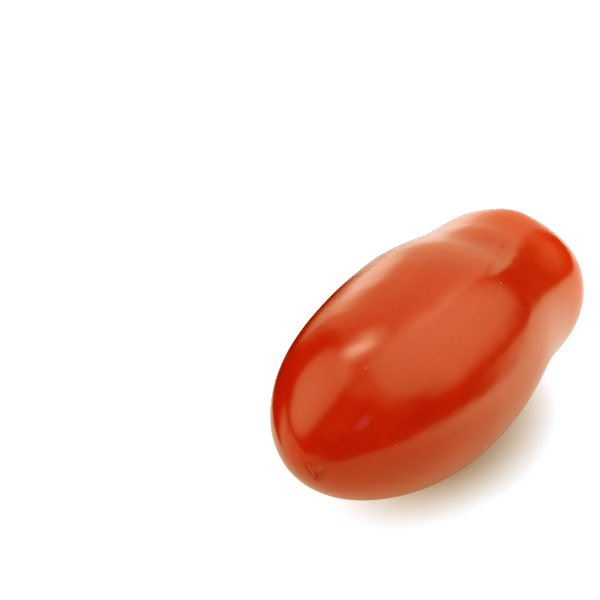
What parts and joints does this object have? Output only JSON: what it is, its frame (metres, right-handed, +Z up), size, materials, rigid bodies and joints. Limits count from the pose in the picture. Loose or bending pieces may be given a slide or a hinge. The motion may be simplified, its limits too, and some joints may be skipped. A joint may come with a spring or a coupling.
{
  "type": "plum tomato",
  "caption": "Ripe elongated plum tomato without its calyx, lying on its side on a small flat spot, with a waisted neck and a rounded shoulder at the stem end.",
  "frame": {"origin": "on the surface that the fruit rests on, under the middle of its box", "axes": "+Y along the fruit from its blossom end to its stem end, +Z up as it lies, +X to the right seen from the blossom end"},
  "size_m": [0.0356, 0.0762, 0.0355],
  "materials": {
    "ripe_skin": "smooth waxy gloss, deep orange-red, with a small corky scar at the stem end"
  },
  "bodies": {
    "root": {"tomato": "ripe_skin"}
  },
  "joints": []
}
